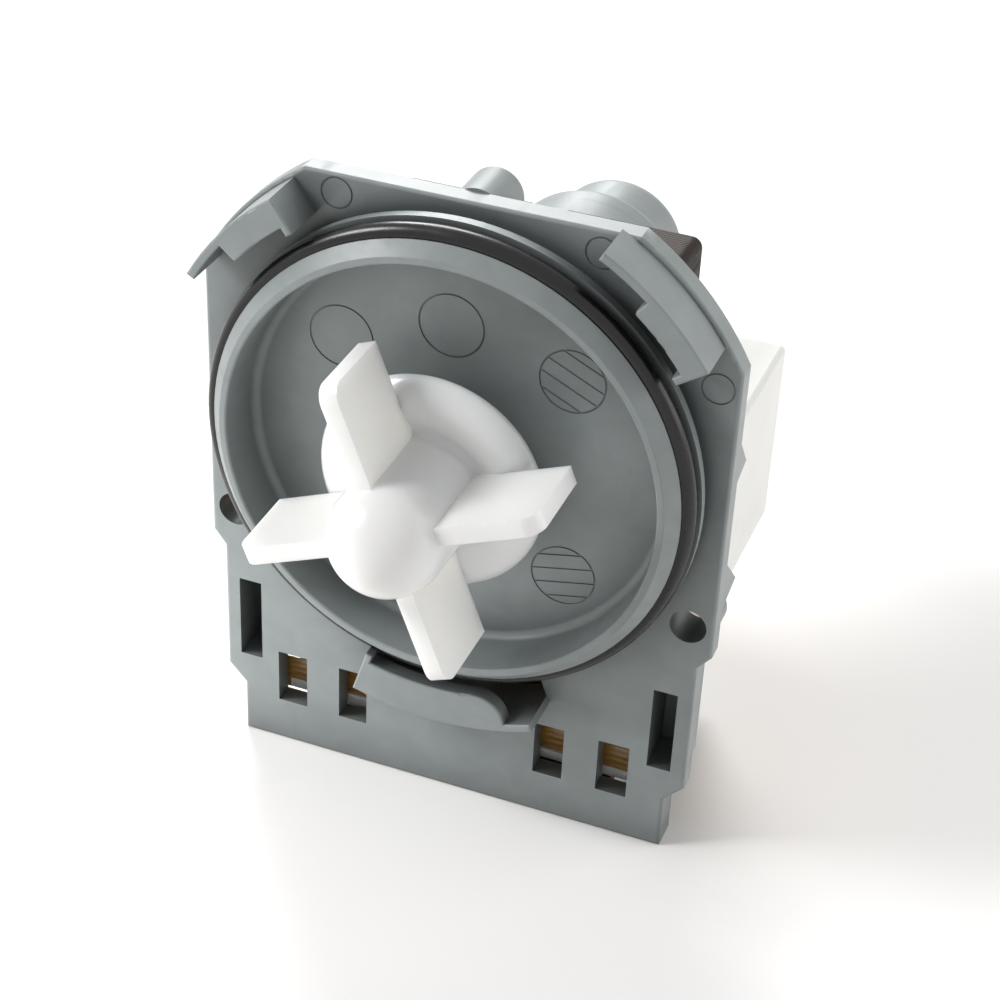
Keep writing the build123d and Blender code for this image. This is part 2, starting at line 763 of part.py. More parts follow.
# Coils: a bobbin, its winding and its tape on each leg
for side, name in ((-1, "left"), (1, "right")):
    leg_place = (side * leg_middle, core_middle)
    with BuildPart() as bobbin:
        with BuildSketch(Plane.XY.offset(-coil_bottom)):
            with Locations(leg_place):
                Rectangle(2 * bobbin_half_width, 2 * bobbin_half_depth)
        extrude(amount=bobbin_flange)
        with BuildSketch(Plane.XY.offset(-coil_bottom)):
            with Locations(leg_place):
                Rectangle(bobbin_bore_width + 2 * bobbin_wall, bobbin_bore_depth + 2 * bobbin_wall)
        extrude(amount=coil_height)
        with BuildSketch(Plane.XY.offset(-coil_top - bobbin_flange)):
            with Locations(leg_place):
                Rectangle(2 * bobbin_half_width, 2 * bobbin_half_depth)
        extrude(amount=bobbin_flange)
        with BuildSketch(Plane.XY.offset(-coil_bottom)):
            with Locations(leg_place):
                Rectangle(bobbin_bore_width, bobbin_bore_depth)
        extrude(amount=coil_height, mode=Mode.SUBTRACT)
        if side > 0:
            with BuildSketch(Plane.XY.offset(-coil_top)):
                with Locations([(lead_side, depth) for depth in lead_depths]):
                    Circle(lead_radius + seat_gap)
            extrude(amount=-bobbin_flange, mode=Mode.SUBTRACT)
    bobbin.part.label = f"{name}_bobbin"
    export_step(bobbin.part, f"parts/{name}_bobbin.step")

    with BuildPart() as winding:
        with BuildSketch(Plane.XY.offset(-coil_bottom + bobbin_flange)):
            with Locations(leg_place):
                RectangleRounded(2 * winding_half_width, 2 * winding_half_depth, winding_round)
                Rectangle(
                    bobbin_bore_width + 2 * bobbin_wall,
                    bobbin_bore_depth + 2 * bobbin_wall,
                    mode=Mode.SUBTRACT,
                )
        extrude(amount=winding_height)
    winding.part.label = f"{name}_winding"
    export_step(winding.part, f"parts/{name}_winding.step")

    with BuildPart() as tape:
        with BuildSketch(Plane.XY.offset(-coil_bottom + bobbin_flange)):
            with Locations(leg_place):
                RectangleRounded(
                    2 * (winding_half_width + tape_thickness),
                    2 * (winding_half_depth + tape_thickness),
                    winding_round + tape_thickness,
                )
                RectangleRounded(
                    2 * winding_half_width, 2 * winding_half_depth, winding_round, mode=Mode.SUBTRACT
                )
        extrude(amount=winding_height)
    tape.part.label = f"{name}_tape"
    export_step(tape.part, f"parts/{name}_tape.step")

# Overheat cutout on the rear of the left-hand coil
with BuildPart() as thermal_cutout:
    with BuildSketch(section(core_middle + winding_half_depth + tape_thickness)):
        with Locations((-leg_middle, -coil_middle)):
            RectangleRounded(cutout_width, cutout_height, cutout_round)
    extrude(amount=-cutout_thickness)
    fillet(thermal_cutout.faces().sort_by(Axis.Y)[-1].edges(), radius=cutout_round / 2)
thermal_cutout.part.label = "thermal_cutout"
export_step(thermal_cutout.part, "parts/thermal_cutout.step")

# Terminal block: a socket at the rear, a wiring pocket at the front and a web between them
with BuildPart() as terminal_housing:
    with BuildSketch(section(block_front)) as block_outline:
        with Locations((block_middle, block_centre_height)):
            RectangleRounded(block_width, block_height, block_round)
    extrude(amount=-block_length)
    with BuildSketch(section(block_front)):
        with Locations((block_middle, block_centre_height)):
            Rectangle(block_width - 2 * block_wall, block_height - 2 * block_wall)
    extrude(amount=-pocket_depth, mode=Mode.SUBTRACT)
    with BuildSketch(section(socket_front)):
        with Locations((block_middle, block_centre_height)):
            Rectangle(block_width - 2 * block_wall, block_height - 2 * block_wall)
    extrude(amount=-socket_depth, mode=Mode.SUBTRACT)
    with BuildSketch(section(pocket_rear)):
        with Locations([(block_middle, height) for height in tab_heights]):
            Rectangle(tab_thickness + 2 * seat_gap, tab_width + 2 * seat_gap)
    extrude(amount=-(socket_front - pocket_rear), mode=Mode.SUBTRACT)
    with BuildSketch(Plane.XY.offset(-coil_top)):
        with Locations([(lead_side, depth) for depth in lead_depths]):
            Circle(lead_radius + seat_gap)
    extrude(amount=block_wall, mode=Mode.SUBTRACT)
terminal_housing.part.label = "terminal_housing"
export_step(terminal_housing.part, "parts/terminal_housing.step")

# Two blade terminals through the web
with BuildPart() as terminal_tabs:
    with BuildSketch(section(tab_front)):
        with Locations([(block_middle, height) for height in tab_heights]):
            Rectangle(tab_thickness, tab_width)
    extrude(amount=-(tab_rear - tab_front))
terminal_tabs.part.label = "terminal_tabs"
export_step(terminal_tabs.part, "parts/terminal_tabs.step")

# Leads from the right-hand winding up to the roots of the terminals
with BuildPart() as winding_leads:
    for depth, height in zip(lead_depths, tab_heights):
        with BuildLine() as route:
            FilletPolyline(
                (lead_side, depth, -coil_top - bobbin_flange),
                (lead_side, depth, height),
                (block_middle - tab_thickness / 2, depth, height),
                radius=lead_bend,
            )
        with BuildSketch(Plane(route.line @ 0, z_dir=route.line % 0)):
            Circle(lead_radius)
        sweep(path=route.line)
winding_leads.part.label = "winding_leads"
export_step(winding_leads.part, "parts/winding_leads.step")
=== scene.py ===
import json
from math import cos, radians, sin

import bpy
from mathutils import Matrix, Vector

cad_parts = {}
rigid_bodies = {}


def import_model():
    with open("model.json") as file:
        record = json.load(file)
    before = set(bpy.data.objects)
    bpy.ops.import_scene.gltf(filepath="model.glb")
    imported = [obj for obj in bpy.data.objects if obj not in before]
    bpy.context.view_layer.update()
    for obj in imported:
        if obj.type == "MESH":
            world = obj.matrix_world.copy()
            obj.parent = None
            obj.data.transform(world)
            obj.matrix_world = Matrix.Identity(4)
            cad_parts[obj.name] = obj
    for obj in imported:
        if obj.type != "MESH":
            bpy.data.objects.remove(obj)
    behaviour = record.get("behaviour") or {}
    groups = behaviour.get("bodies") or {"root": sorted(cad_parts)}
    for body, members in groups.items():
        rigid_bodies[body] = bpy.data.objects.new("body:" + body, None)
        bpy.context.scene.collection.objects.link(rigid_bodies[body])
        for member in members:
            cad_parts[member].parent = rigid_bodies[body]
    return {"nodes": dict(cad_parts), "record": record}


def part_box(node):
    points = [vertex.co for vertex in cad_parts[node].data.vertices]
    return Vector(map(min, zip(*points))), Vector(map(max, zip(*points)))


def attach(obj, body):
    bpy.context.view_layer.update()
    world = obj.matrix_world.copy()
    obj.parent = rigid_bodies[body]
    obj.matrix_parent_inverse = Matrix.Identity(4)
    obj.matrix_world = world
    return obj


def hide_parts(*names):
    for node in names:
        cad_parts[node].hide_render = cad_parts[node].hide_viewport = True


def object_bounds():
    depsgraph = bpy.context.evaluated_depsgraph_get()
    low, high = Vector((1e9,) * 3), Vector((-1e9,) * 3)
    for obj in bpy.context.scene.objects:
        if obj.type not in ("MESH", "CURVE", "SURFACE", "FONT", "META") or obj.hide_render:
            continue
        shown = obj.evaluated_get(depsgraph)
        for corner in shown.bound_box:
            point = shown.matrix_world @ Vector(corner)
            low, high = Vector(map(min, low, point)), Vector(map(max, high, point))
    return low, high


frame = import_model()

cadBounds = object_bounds()
nodes = frame["nodes"]
mm = 0.001
print("frame loaded:", len(nodes), "nodes")


# Where the photograph was taken from, as seen from the pump's front
cameraSetup = {
    "azimuth": 19.731,  # degrees to the right of the pump axis
    "elevation": 33.549,  # degrees above it
    "roll": 2.830,
    "distance": 286.184 * mm,
    "aim": Vector((8.054, -5.929, -2.666)) * mm,
    "lens": 81.475,
    "sensor": 36,
    "nearest": 1 * mm,
}


def placeCamera():
    turn = radians(cameraSetup["azimuth"])
    rise = radians(cameraSetup["elevation"])
    back = Vector((sin(turn) * cos(rise), -cos(turn) * cos(rise), sin(rise)))
    level = Vector((cos(turn), sin(turn), 0))
    up = back.cross(level)
    roll = radians(cameraSetup["roll"])
    right = level * cos(roll) + up * sin(roll)
    up = back.cross(right)
    place = cameraSetup["aim"] + back * cameraSetup["distance"]
    bpy.ops.object.camera_add()
    camera = bpy.context.object
    camera.name = "photoCamera"
    turned = Matrix((right, up, back)).transposed().to_4x4()
    camera.matrix_world = Matrix.Translation(place) @ turned
    camera.data.lens = cameraSetup["lens"]
    camera.data.sensor_width = cameraSetup["sensor"]
    camera.data.clip_start = cameraSetup["nearest"]
    bpy.context.scene.camera = camera


# Pale floor in white surroundings
stageSetup = {
    "floorSize": 4.0,  # metres
    "floorColor": (0.97, 0.955, 0.94, 1),  # what the camera and reflections see
    "floorBounce": (0.74, 0.73, 0.72, 1),  # what throws light back on the object
    "floorRoughness": 0.9,
    "floorGloss": 0.1,
    "worldColor": (1, 1, 1, 1),
    "worldLight": 0.30,  # what lights the object
    "worldSeen": 1.0,  # what the camera and reflections see
}

# Three soft lamps far away, each with the side that it shines from
lamps = {
    "windowLamp": {"from": Vector((-1.0, -0.42, 0.8)), "strength": 2.3, "spread": 22},
    "backLamp": {"from": Vector((-0.42, 0.80, 0.62)), "strength": 2.2, "spread": 26},
    "sideLamp": {"from": Vector((1.0, 0.4, 0.3)), "strength": 1.4, "spread": 60},
}

# A small card of light low on the left, near the object
card = {
    "place": Vector((-82, -48, -42)) * mm,
    "aim": Vector((-20, 0, -30)) * mm,
    "size": 45 * mm,
    "power": 0.05,
}


def setSockets(node, values):
    for socket, value in values.items():
        node.inputs[socket].default_value = value


def addNode(tree, kind, values=None):
    node = tree.nodes.new(kind)
    setSockets(node, values or {})
    return node


def addGroup(tree, group, values):
    node = tree.nodes.new("ShaderNodeGroup")
    node.node_tree = group
    setSockets(node, values)
    return node


# One surface for what lights the object, another for what the camera, reflections and clear pieces see
def mixBySight(tree, lighting, seen):
    link = tree.links.new
    rays = addNode(tree, "ShaderNodeLightPath")
    glossy = addNode(tree, "ShaderNodeMath")
    glossy.operation = "MAXIMUM"
    through = addNode(tree, "ShaderNodeMath")
    through.operation = "MAXIMUM"
    mix = addNode(tree, "ShaderNodeMixShader")
    link(rays.outputs["Is Camera Ray"], glossy.inputs[0])
    link(rays.outputs["Is Glossy Ray"], glossy.inputs[1])
    link(glossy.outputs[0], through.inputs[0])
    link(rays.outputs["Is Transmission Ray"], through.inputs[1])
    link(through.outputs[0], mix.inputs["Fac"])
    link(lighting.outputs[0], mix.inputs[1])
    link(seen.outputs[0], mix.inputs[2])
    return mix


def buildFloor():
    bpy.ops.mesh.primitive_plane_add(size=stageSetup["floorSize"], location=(0, 0, cadBounds[0][2]))
    floor = bpy.context.object
    floor.name = "floor"
    material = bpy.data.materials.new("floorWhite")
    material.use_nodes = True
    tree = material.node_tree
    seen = tree.nodes["Principled BSDF"]
    setSockets(seen, {
        "Base Color": stageSetup["floorColor"],
        "Roughness": stageSetup["floorRoughness"],
        "Specular IOR Level": stageSetup["floorGloss"],
    })
    bounce = addNode(tree, "ShaderNodeBsdfDiffuse", {"Color": stageSetup["floorBounce"]})
    mix = mixBySight(tree, bounce, seen)
    tree.links.new(mix.outputs[0], tree.nodes["Material Output"].inputs["Surface"])
    floor.data.materials.append(material)


def buildWorld():
    world = bpy.data.worlds.new("surroundings")
    bpy.context.scene.world = world
    world.use_nodes = True
    tree = world.node_tree
    color = stageSetup["worldColor"]
    lighting = tree.nodes["Background"]
    setSockets(lighting, {"Color": color, "Strength": stageSetup["worldLight"]})
    seen = addNode(tree, "ShaderNodeBackground", {"Color": color, "Strength": stageSetup["worldSeen"]})
    mix = mixBySight(tree, lighting, seen)
    tree.links.new(mix.outputs[0], tree.nodes["World Output"].inputs["Surface"])


def placeLamps():
    for name, facts in lamps.items():
        bpy.ops.object.light_add(type="SUN")
        lamp = bpy.context.object
        lamp.name = name
        lamp.rotation_euler = facts["from"].to_track_quat("Z", "Y").to_euler()
        lamp.data.energy = facts["strength"]
        lamp.data.angle = radians(facts["spread"])
    bpy.ops.object.light_add(type="AREA", location=card["place"])
    lamp = bpy.context.object
    lamp.name = "cardLamp"
    lamp.rotation_euler = (card["place"] - card["aim"]).to_track_quat("Z", "Y").to_euler()
    lamp.data.size = card["size"]
    lamp.data.energy = card["power"]
    lamp.visible_camera = False
    lamp.visible_glossy = False


placeCamera()
buildFloor()
buildWorld()
placeLamps()
bpy.context.scene.view_settings.view_transform = "Standard"
print("camera, floor and light placed")


# Colour from the values that paint programs show
def paint(red, green, blue):
    shares = [value / 255 for value in (red, green, blue)]
    linear = [s / 12.92 if s < 0.04045 else ((s + 0.055) / 1.055) ** 2.4 for s in shares]
    return (*linear, 1)


def newGroup(name, inputs, outputs):
    group = bpy.data.node_groups.new(name, "ShaderNodeTree")
    for label, kind, value in inputs:
        socket = group.interface.new_socket(label, in_out="INPUT", socket_type=kind)
        socket.default_value = value
    for label, kind in outputs:
        group.interface.new_socket(label, in_out="OUTPUT", socket_type=kind)
    start = group.nodes.new("NodeGroupInput")
    end = group.nodes.new("NodeGroupOutput")
    return group, start, end


# Cloudy tone and fine moulded grain, as on a tinted plastic. The noise is cut off at low and high.
mouldedPattern = {"detail": 4, "distortion": 0.6, "low": 0.3, "high": 0.7, "grainDetail": 2}


def buildMouldedGroup():
    inputs = [
        ("Color", "NodeSocketColor", (0.5, 0.5, 0.5, 1)),
        ("Cloud", "NodeSocketFloat", 0.1),
        ("Cloud Scale", "NodeSocketFloat", 90.0),
        ("Grain Scale", "NodeSocketFloat", 2500.0),
    ]
    outputs = [("Color", "NodeSocketColor"), ("Height", "NodeSocketFloat")]
    group, start, end = newGroup("mouldedSurface", inputs, outputs)
    link = group.links.new
    place = addNode(group, "ShaderNodeTexCoord")
    cloud = addNode(group, "ShaderNodeTexNoise", {
        "Detail": mouldedPattern["detail"],
        "Distortion": mouldedPattern["distortion"],
    })
    grain = addNode(group, "ShaderNodeTexNoise", {"Detail": mouldedPattern["grainDetail"]})
    spread = addNode(group, "ShaderNodeMapRange", {
        "From Min": mouldedPattern["low"],
        "From Max": mouldedPattern["high"],
        "To Min": -1,
        "To Max": 1,
    })
    amount = addNode(group, "ShaderNodeMath", {2: 1})
    amount.operation = "MULTIPLY_ADD"
    tone = addNode(group, "ShaderNodeVectorMath")
    tone.operation = "SCALE"
    link(place.outputs["Object"], cloud.inputs["Vector"])
    link(place.outputs["Object"], grain.inputs["Vector"])
    link(start.outputs["Cloud Scale"], cloud.inputs["Scale"])
    link(start.outputs["Grain Scale"], grain.inputs["Scale"])
    link(cloud.outputs["Fac"], spread.inputs["Value"])
    link(spread.outputs["Result"], amount.inputs[0])
    link(start.outputs["Cloud"], amount.inputs[1])
    link(start.outputs["Color"], tone.inputs[0])
    link(amount.outputs[0], tone.inputs["Scale"])
    link(tone.outputs[0], end.inputs["Color"])
    link(grain.outputs["Fac"], end.inputs["Height"])
    return group


# Faint drawn-out marks, as on handled or rolled surfaces. The noise is cut off at low and high.
scuffPattern = {"detail": 3, "low": 0.55, "high": 0.75, "stretch": (1, 0.25, 1.6)}


def buildScuffGroup():
    inputs = [
        ("Scale", "NodeSocketFloat", 300.0),
        ("Stretch", "NodeSocketVector", (1, 1, 1)),
        ("Amount", "NodeSocketFloat", 0.5),
    ]
    group, start, end = newGroup("scuffMarks", inputs, [("Mask", "NodeSocketFloat")])
    link = group.links.new
    place = addNode(group, "ShaderNodeTexCoord")
    stretch = addNode(group, "ShaderNodeMapping")
    marks = addNode(group, "ShaderNodeTexNoise", {"Detail": scuffPattern["detail"]})
    limit = addNode(group, "ShaderNodeMapRange", {
        "From Min": scuffPattern["low"],
        "From Max": scuffPattern["high"],
    })
    amount = addNode(group, "ShaderNodeMath")
    amount.operation = "MULTIPLY"
    link(place.outputs["Object"], stretch.inputs["Vector"])
    link(start.outputs["Stretch"], stretch.inputs["Scale"])
    link(stretch.outputs[0], marks.inputs["Vector"])
    link(start.outputs["Scale"], marks.inputs["Scale"])
    link(marks.outputs["Fac"], limit.inputs["Value"])
    link(limit.outputs["Result"], amount.inputs[0])
    link(start.outputs["Amount"], amount.inputs[1])
    link(amount.outputs[0], end.inputs["Mask"])
    return group


# Ridges of close wire under a thin film, stacked along Z
wirePattern = {"detail": 1, "detailScale": 0.6, "depth": 0.2 * mm}


def buildWireGroup():
    inputs = [("Pitch Scale", "NodeSocketFloat", 300.0), ("Wander", "NodeSocketFloat", 1.0)]
    group, start, end = newGroup("wireRidges", inputs, [("Height", "NodeSocketFloat")])
    link = group.links.new
    place = addNode(group, "ShaderNodeTexCoord")
    wave = addNode(group, "ShaderNodeTexWave", {
        "Detail": wirePattern["detail"],
        "Detail Scale": wirePattern["detailScale"],
    })
    wave.bands_direction = "Z"
    link(place.outputs["Object"], wave.inputs["Vector"])
    link(start.outputs["Pitch Scale"], wave.inputs["Scale"])
    link(start.outputs["Wander"], wave.inputs["Distortion"])
    link(wave.outputs["Fac"], end.inputs["Height"])
    return group


mouldedGroup = buildMouldedGroup()
scuffGroup = buildScuffGroup()
wireGroup = buildWireGroup()

# Painted shade: the colour is darkened in corners and recesses where shade falls. How far it reaches,
# and how shut in or open a spot is at its ends
paintedRecessShade = {"reach": 10 * mm, "samples": 12, "shut": 0.3, "open": 0.95}

# How far red, green and blue light travel inside a pale plastic, as shares of its depth
glowRadius = (1, 0.9, 0.8)

# One entry for each finish. Scales of patterns are per metre.
finishes = {
    "grey_plastic": {
        "color": paint(139, 146, 146), "cloud": 0.07, "cloudScale": 190, "grainScale": 2600,
        # The last entry on the next line is painted shade: the share down to which the grey darkens in
        # corners and recesses
        "bump": 0.12, "bumpDepth": 0.05 * mm, "roughness": 0.40, "scuff": 0.12, "paintedShadeShare": 0.42,
    },
    "black_rubber": {
        "color": paint(15, 15, 16), "cloud": 0.15, "cloudScale": 160, "grainScale": 1800,
        "bump": 0.10, "bumpDepth": 0.05 * mm, "roughness": 0.25, "scuff": 0.10, "gloss": 0.4,
    },
    "impeller_plastic": {
        "color": paint(246, 246, 244), "cloud": 0.015, "cloudScale": 60, "grainScale": 900,
        "bump": 0.04, "bumpDepth": 0.05 * mm, "roughness": 0.22, "scuff": 0.05, "gloss": 0.45,
        "glow": 0.7, "glowDepth": 2.5 * mm,
    },
    "white_plastic": {
        "color": paint(238, 238, 234), "cloud": 0.03, "cloudScale": 80, "grainScale": 1500,
        "bump": 0.08, "bumpDepth": 0.05 * mm, "roughness": 0.42, "scuff": 0.06,
        "glow": 0.25, "glowDepth": 1.0 * mm,
    },
    "core_steel": {
        "color": paint(38, 30, 25), "cloud": 0.25, "cloudScale": 140, "grainScale": 2200,
        "bump": 0.15, "bumpDepth": 0.05 * mm, "roughness": 0.5, "scuff": 0.25,
        "metallic": 0.5, "gloss": 0.3,
    },
    "rivet_steel": {
        "color": paint(168, 168, 166), "cloud": 0.10, "cloudScale": 260, "grainScale": 2200,
        "bump": 0.12, "bumpDepth": 0.05 * mm, "roughness": 0.32, "scuff": 0.2, "metallic": 1.0,
    },
    "amber_tape": {
        "color": paint(158, 118, 56), "cloud": 0.14, "cloudScale": 120, "grainScale": 700,
        "bump": 0.10, "bumpDepth": 0.1 * mm, "roughness": 0.24, "scuff": 0.10, "coat": 0.5,
        "wire": 0.35, "wirePitch": 310,
    },
    "copper_wire": {
        "color": paint(178, 96, 52), "cloud": 0.12, "cloudScale": 200, "grainScale": 2000,
        "bump": 0.08, "bumpDepth": 0.05 * mm, "roughness": 0.28, "scuff": 0.05,
        "metallic": 0.9, "coat": 0.4,
    },
    "tab_metal": {
        "color": paint(204, 199, 184), "cloud": 0.08, "cloudScale": 300, "grainScale": 2400,
        "bump": 0.10, "bumpDepth": 0.05 * mm, "roughness": 0.27, "scuff": 0.25, "metallic": 1.0,
    },
    "cutout_plastic": {
        "color": paint(34, 34, 36), "cloud": 0.10, "cloudScale": 120, "grainScale": 2000,
        "bump": 0.10, "bumpDepth": 0.05 * mm, "roughness": 0.36, "scuff": 0.12,
    },
    "shaft_steel": {
        "color": paint(188, 190, 192), "cloud": 0.06, "cloudScale": 240, "grainScale": 2400,
        "bump": 0.06, "bumpDepth": 0.05 * mm, "roughness": 0.2, "scuff": 0.2, "metallic": 1.0,
    },
    "bush_material": {
        "color": paint(62, 60, 58), "cloud": 0.12, "cloudScale": 260, "grainScale": 2600,
        "bump": 0.2, "bumpDepth": 0.05 * mm, "roughness": 0.55, "scuff": 0.1,
    },
    "ferrite": {
        "color": paint(56, 54, 54), "cloud": 0.12, "cloudScale": 200, "grainScale": 2600,
        "bump": 0.2, "bumpDepth": 0.05 * mm, "roughness": 0.6, "scuff": 0.1,
    },
}


# Paints shade into a colour in corners and recesses, down to the share given
def paintRecessShade(tree, color, share):
    corners = addNode(tree, "ShaderNodeAmbientOcclusion", {"Distance": paintedRecessShade["reach"]})
    corners.samples = paintedRecessShade["samples"]
    deepen = addNode(tree, "ShaderNodeMapRange", {
        "From Min": paintedRecessShade["shut"],
        "From Max": paintedRecessShade["open"],
        "To Min": share,
    })
    shaded = addNode(tree, "ShaderNodeVectorMath")
    shaded.operation = "SCALE"
    tree.links.new(corners.outputs["AO"], deepen.inputs["Value"])
    tree.links.new(color, shaded.inputs[0])
    tree.links.new(deepen.outputs["Result"], shaded.inputs["Scale"])
    return shaded.outputs[0]


def raiseWire(tree, height, pitch):
    wire = addGroup(tree, wireGroup, {"Pitch Scale": pitch})
    ridges = addNode(tree, "ShaderNodeBump", {"Strength": height, "Distance": wirePattern["depth"]})
    tree.links.new(wire.outputs["Height"], ridges.inputs["Height"])
    return ridges.outputs[0]


def makeFinish(name, facts):
    material = bpy.data.materials.new(name)
    material.use_nodes = True
    tree = material.node_tree
    link = tree.links.new
    shader = tree.nodes["Principled BSDF"]
    setSockets(shader, {
        "Metallic": facts.get("metallic", 0),
        "Subsurface Weight": facts.get("glow", 0),
        "Subsurface Radius": glowRadius,
        "Subsurface Scale": facts.get("glowDepth", 1 * mm),
        "Coat Weight": facts.get("coat", 0),
        "Specular IOR Level": facts.get("gloss", 0.5),
    })

    moulded = addGroup(tree, mouldedGroup, {
        "Color": facts["color"],
        "Cloud": facts["cloud"],
        "Cloud Scale": facts["cloudScale"],
        "Grain Scale": facts["grainScale"],
    })
    color = moulded.outputs["Color"]
    # Painted shade: the base colour darkens in corners and recesses where shade falls
    if "paintedShadeShare" in facts:
        color = paintRecessShade(tree, color, facts["paintedShadeShare"])
    link(color, shader.inputs["Base Color"])

    scuff = addGroup(tree, scuffGroup, {"Amount": facts["scuff"], "Stretch": scuffPattern["stretch"]})
    rough = addNode(tree, "ShaderNodeMath", {1: facts["roughness"]})
    rough.operation = "ADD"
    link(scuff.outputs["Mask"], rough.inputs[0])
    link(rough.outputs[0], shader.inputs["Roughness"])

    bump = addNode(tree, "ShaderNodeBump", {"Strength": facts["bump"], "Distance": facts["bumpDepth"]})
    link(moulded.outputs["Height"], bump.inputs["Height"])
    if "wire" in facts:
        link(raiseWire(tree, facts["wire"], facts["wirePitch"]), bump.inputs["Normal"])
    link(bump.outputs[0], shader.inputs["Normal"])
    return material


materials = {name: makeFinish(name, facts) for name, facts in finishes.items()}
slotOf = {entry["node"]: entry["material_slot"] for entry in frame["record"]["subparts"]}
bodies = frame["record"]["behaviour"]["bodies"]
bodyOf = {node: body for body, members in bodies.items() for node in members}
for node, piece in nodes.items():
    piece.data.materials.clear()
    piece.data.materials.append(materials[slotOf[node]])
print("finishes made:", len(materials))

# Corners closer than the first, and faces turned less than the second, are joined in a copy
mergeWithin = 0.002 * mm
flatWithin = radians(0.4)

# Turn in degrees from which an edge counts as sharp, where a piece gives no other
sharpFrom = 35


def selectOnly(piece):
    bpy.ops.object.select_all(action="DESELECT")
    piece.select_set(True)
    bpy.context.view_layer.objects.active = piece


# Loose copy of a CAD piece, merged so that it can be worked on, and cut through along any planes given
def takeCopy(node, name, cuts=()):
    selectOnly(nodes[node])
    bpy.ops.object.duplicate()
    piece = bpy.context.object
    for key in list(piece.keys()):
        del piece[key]
    bpy.ops.object.parent_clear(type="CLEAR_KEEP_TRANSFORM")
    piece.name = name
    piece.data.name = name
    bpy.ops.mesh.customdata_custom_splitnormals_clear()
    bpy.ops.object.mode_set(mode="EDIT")
    bpy.ops.mesh.select_all(action="SELECT")
    bpy.ops.mesh.remove_doubles(threshold=mergeWithin)
    bpy.ops.mesh.dissolve_limited(angle_limit=flatWithin)
    for place, across in cuts:
        bpy.ops.mesh.select_all(action="SELECT")
        bpy.ops.mesh.bisect(plane_co=place, plane_no=across)
    bpy.ops.object.mode_set(mode="OBJECT")
    return piece


def applyBevel(piece, width, segments, angle=sharpFrom):
    bevel = piece.modifiers.new("edges", "BEVEL")
    bevel.width = width
    bevel.segments = segments
    bevel.limit_method = "ANGLE"
    bevel.angle_limit = radians(angle)
    bevel.use_clamp_overlap = True
    bevel.miter_outer = "MITER_ARC"
    selectOnly(piece)
    bpy.ops.object.modifier_apply(modifier=bevel.name)


# Smooth shading up to an angle in degrees, in which the large flat faces stay flat
def shadeFlush(piece, angle):
    selectOnly(piece)
    bpy.ops.object.shade_smooth_by_angle(angle=radians(angle))
    flush = piece.modifiers.new("flush", "WEIGHTED_NORMAL")
    flush.keep_sharp = True
    flush.weight = 100
    bpy.ops.object.modifier_apply(modifier=flush.name)


def finishPiece(piece, node, angle):
    shadeFlush(piece, angle)
    piece.data.materials.clear()
    piece.data.materials.append(materials[slotOf[node]])
    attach(piece, bodyOf[node])
    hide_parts(node)


# How far out from the pump axis, or below it, the plate's holes are
plateHoles = {"tallSlots": 30.6 * mm, "screwHoles": 19.1 * mm, "squareSlots": 46.06 * mm}

# Cuts through the plate and its holes, which leave no face with a hole in it
plateCuts = [
    ((0, 0, 0), (1, 0, 0)),
    ((0, 0, 0), (0, 0, 1)),
    ((0, 0, 0), (1, 0, 1)),
    ((0, 0, 0), (1, 0, -1)),
    ((-plateHoles["tallSlots"], 0, 0), (1, 0, 0)),
    ((plateHoles["tallSlots"], 0, 0), (1, 0, 0)),
    ((0, 0, -plateHoles["screwHoles"]), (0, 0, 1)),
    ((0, 0, -plateHoles["squareSlots"]), (0, 0, 1)),
]

# Moulded and stamped pieces, with their sharp edges broken as a mould leaves them
softEdges = {
    "mounting_plate": {"name": "plateMoulding", "width": 0.18, "segments": 2, "cuts": plateCuts},
    "rear_cap": {"name": "capMoulding", "width": 0.15, "segments": 2},
    "left_bobbin": {"name": "leftBobbinMoulding", "width": 0.2, "segments": 2},
    "right_bobbin": {"name": "rightBobbinMoulding", "width": 0.2, "segments": 2},
    "terminal_housing": {"name": "socketMoulding", "width": 0.2, "segments": 2},
    "impeller": {"name": "impellerMoulding", "width": 0.3, "segments": 3},
    "core_rivets": {"name": "rivetHeads", "width": 0.3, "segments": 3},
}
smoothMouldings = 38  # degrees


def breakEdges():
    for node, facts in softEdges.items():
        piece = takeCopy(node, facts["name"], facts.get("cuts", ()))
        applyBevel(piece, facts["width"] * mm, facts["segments"])
        finishPiece(piece, node, smoothMouldings)
        print("edges broken:", facts["name"], len(piece.data.polygons), "faces")


breakEdges()

# Tape round each coil, with a loose end that stands out beside the winding
tapeWraps = {
    "left_tape": {"name": "leftTapeWrap", "out": -1},
    "right_tape": {"name": "rightTapeWrap", "out": 1},
}
tapeSetup = {  # millimetres and degrees
    "inset": 5.6,  # where the loose end starts, in from the wrap's outer side
    "forward": 0.13,  # how far it lies in front of the wrap
    "below": 1.55,  # how far it hangs below the wrap's lower edge
    "above": 3.85,
    "thickness": 0.1,
    "edge": 0.08,
    "steps": [(3.2, 0.0), (2.0, 0.06), (1.2, 0.14), (0.9, 0.24), (0.6, 0.3)],  # outwards and forwards
    "smooth": 40,
}


